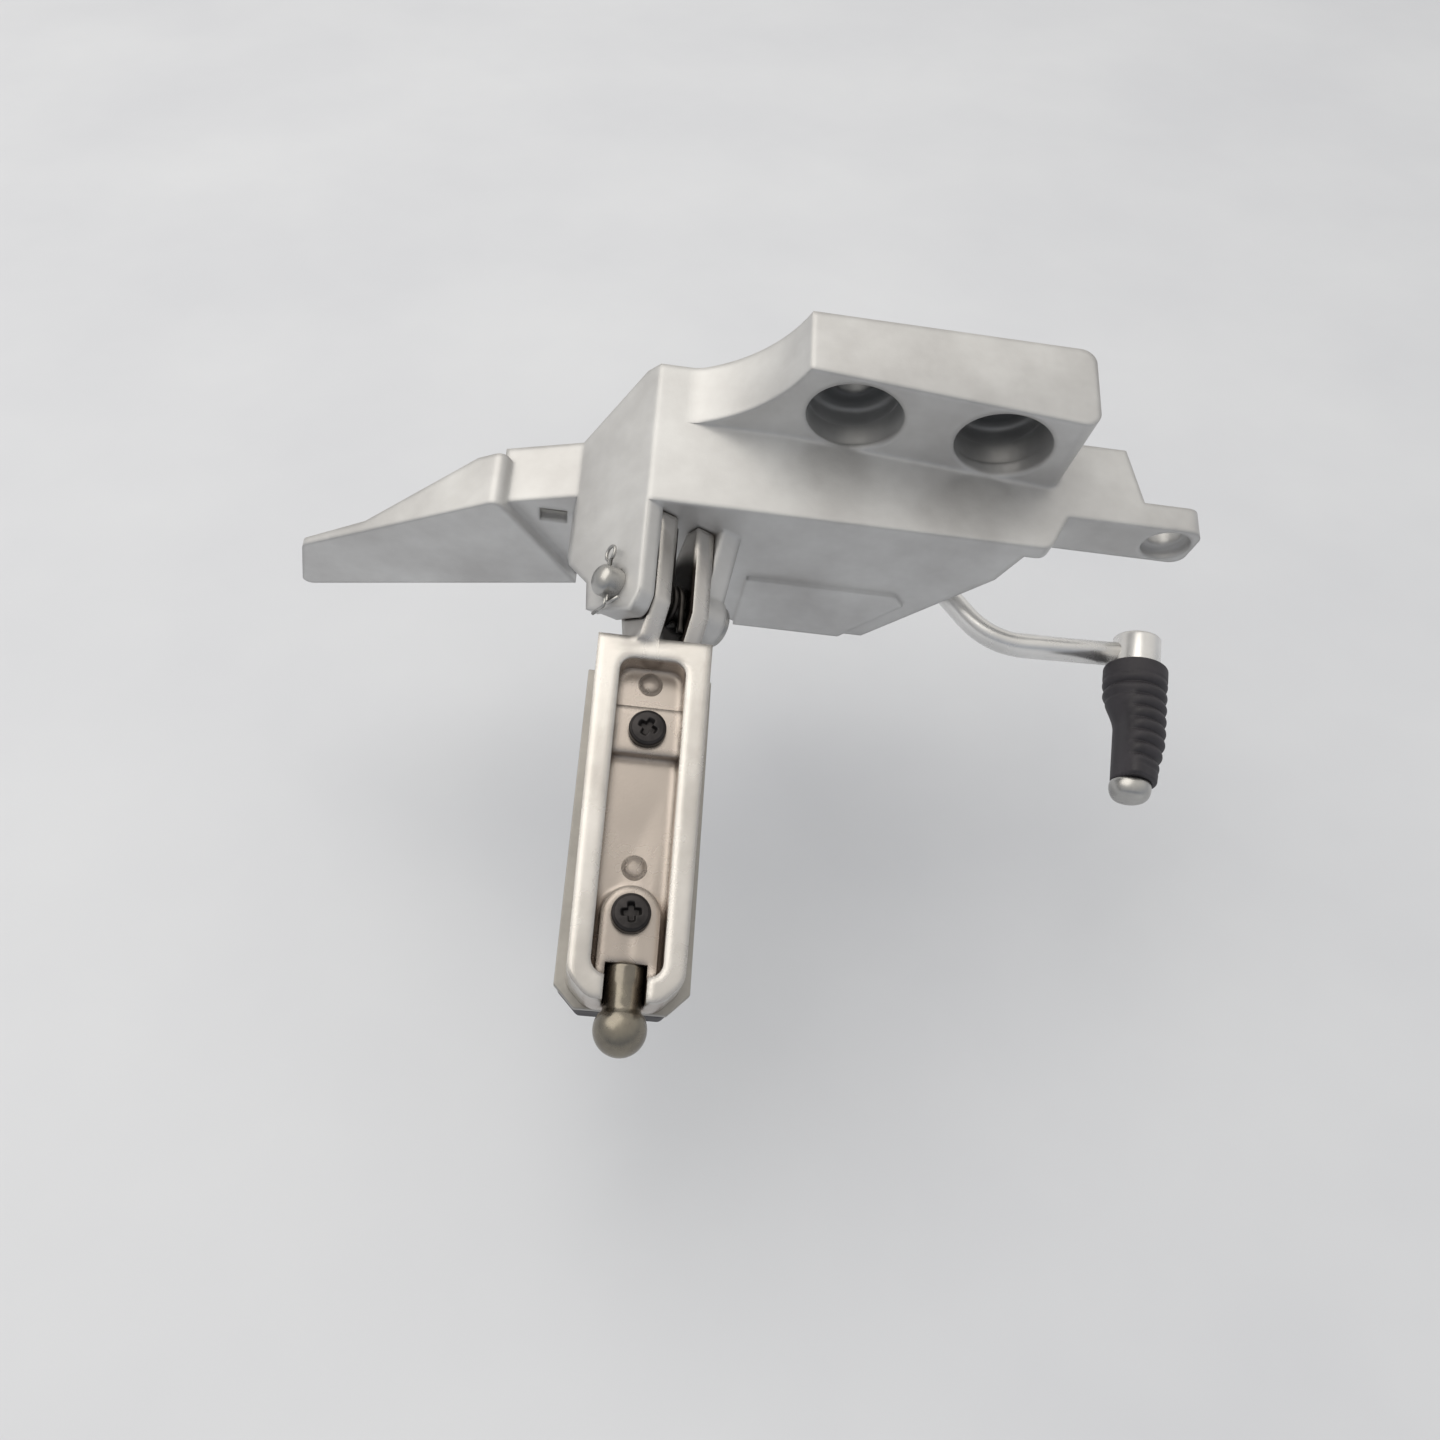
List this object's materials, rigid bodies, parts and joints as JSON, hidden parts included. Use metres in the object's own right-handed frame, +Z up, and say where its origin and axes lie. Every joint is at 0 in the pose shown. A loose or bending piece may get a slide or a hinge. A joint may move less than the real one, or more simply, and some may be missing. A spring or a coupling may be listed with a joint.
{
  "type": "motorcycle footrest hanger",
  "caption": "Cast hanger that bolts to a motorcycle frame and carries a sprung folding footrest with a bank-angle feeler, and a gear lever with a ribbed toe rubber.",
  "frame": {"origin": "midway between the two frame-bolt holes, on the mounting face that meets the motorcycle frame", "axes": "+X rearward on the motorcycle, +Y inboard out of the mounting face, +Z up as fitted"},
  "size_m": [0.2462, 0.1745, 0.1072],
  "materials": {
    "cast_aluminium": "as cast, silver lacquer",
    "peg_aluminium": "cast and bead blasted",
    "polished_aluminium": "forged and polished",
    "zinc_steel": "yellowish zinc plate",
    "bright_steel": "turned",
    "dark_screw": "black oxide",
    "spring_steel": "oiled spring wire",
    "tread_steel": "pressed, zinc plated",
    "black_rubber": "moulded, matt",
    "bronze": "sintered"
  },
  "bodies": {
    "hanger": {"hanger_casting": "cast_aluminium", "pivot_pin": "bright_steel", "split_pin": "bright_steel", "return_spring": "spring_steel", "lever_pivot_bolt": "bright_steel", "lever_washer": "bright_steel"},
    "footrest": {"footrest_casting": "peg_aluminium", "feeler_pin": "zinc_steel", "tread_plate": "tread_steel", "tread_rubber": "black_rubber", "tread_screws": "dark_screw"},
    "lever": {"gear_lever": "polished_aluminium", "toe_pin": "bright_steel", "toe_rubber": "black_rubber", "lever_bush": "bronze", "hub_seals": "black_rubber"}
  },
  "joints": [
    {"name": "peg_fold", "type": "hinge", "parent": "hanger", "child": "footrest", "pos_m": [0.061, -0.063, 0.02565], "axis": [-0.866, 0, 0.5], "range_deg": [0, 70], "stiffness_Nm_per_rad": 0.5, "springref_deg": -22.92},
    {"name": "lever_pivot", "type": "hinge", "parent": "hanger", "child": "lever", "pos_m": [0.012, -0.0267, 0.058], "axis": [0, 1, 0], "range_deg": [-12, 12]}
  ]
}
